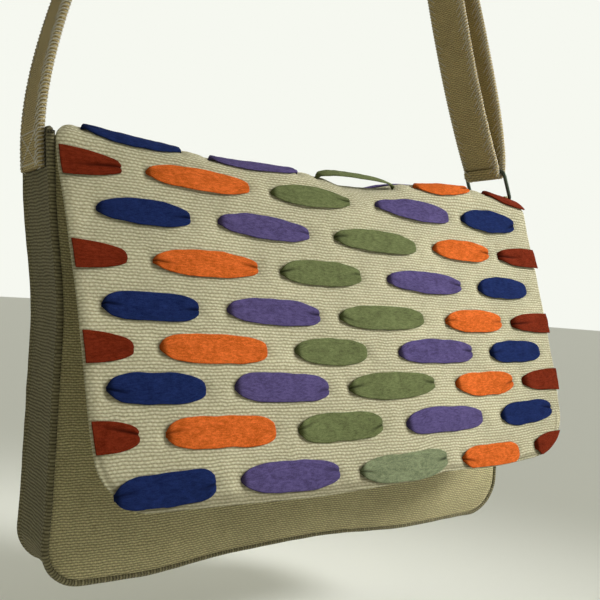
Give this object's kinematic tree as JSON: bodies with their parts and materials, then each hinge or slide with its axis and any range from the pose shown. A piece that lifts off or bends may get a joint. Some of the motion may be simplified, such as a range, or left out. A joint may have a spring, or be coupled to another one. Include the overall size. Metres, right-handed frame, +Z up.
{
  "type": "linen shoulder bag",
  "caption": "Soft linen shoulder bag whose flap carries staggered rows of coloured suede stitches, with a doubled linen strap held by a ring and a slider.",
  "frame": {"origin": "underside of the strap's crown, where the bag hangs", "axes": "+Z up, +X to the ring's side, -Y out of the flap's face"},
  "size_m": [0.3716, 0.1225, 0.7006],
  "materials": {
    "linen_body": "coarse plain-woven linen, taupe",
    "linen_flap": "coarse plain-woven linen, natural",
    "linen_strap": "folded linen band, olive brown",
    "suede_blue": "suede",
    "suede_purple": "suede",
    "suede_green": "suede",
    "suede_orange": "suede",
    "suede_rust": "suede",
    "dark_metal": "dark gunmetal"
  },
  "bodies": {
    "root": {"front_panel": "linen_body", "back_panel": "linen_body", "gusset": "linen_body", "flap": "linen_flap", "strap": "linen_strap", "strap_ring": "dark_metal", "ring_tab": "linen_body", "strap_slider": "dark_metal", "suede_0_1": "suede_rust", "suede_0_2": "suede_orange", "suede_0_3": "suede_green", "suede_0_4": "suede_purple", "suede_0_5": "suede_blue", "suede_1_1": "suede_blue", "suede_1_2": "suede_purple", "suede_1_3": "suede_green", "suede_1_4": "suede_orange", "suede_1_5": "suede_rust", "suede_2_1": "suede_rust", "suede_2_2": "suede_orange", "suede_2_3": "suede_green", "suede_2_4": "suede_purple", "suede_2_5": "suede_blue", "suede_3_1": "suede_blue", "suede_3_2": "suede_purple", "suede_3_3": "suede_green", "suede_3_4": "suede_orange", "suede_3_5": "suede_rust", "suede_4_1": "suede_rust", "suede_4_2": "suede_orange", "suede_4_3": "suede_green", "suede_4_4": "suede_purple", "suede_4_5": "suede_blue", "suede_5_1": "suede_blue", "suede_5_2": "suede_purple", "suede_5_3": "suede_green", "suede_5_4": "suede_orange", "suede_5_5": "suede_rust", "suede_6_1": "suede_rust", "suede_6_2": "suede_orange", "suede_6_3": "suede_green", "suede_6_4": "suede_purple", "suede_6_5": "suede_blue", "suede_7_1": "suede_blue", "suede_7_2": "suede_purple", "suede_7_3": "suede_green", "suede_7_4": "suede_orange", "suede_7_5": "suede_rust", "suede_8_1": "suede_rust", "suede_8_2": "suede_orange", "suede_8_3": "suede_green", "suede_8_4": "suede_purple", "suede_8_5": "suede_blue", "suede_9_1": "suede_blue", "suede_9_2": "suede_purple", "suede_9_3": "suede_green", "suede_9_4": "suede_orange", "suede_9_5": "suede_rust"}
  },
  "joints": []
}
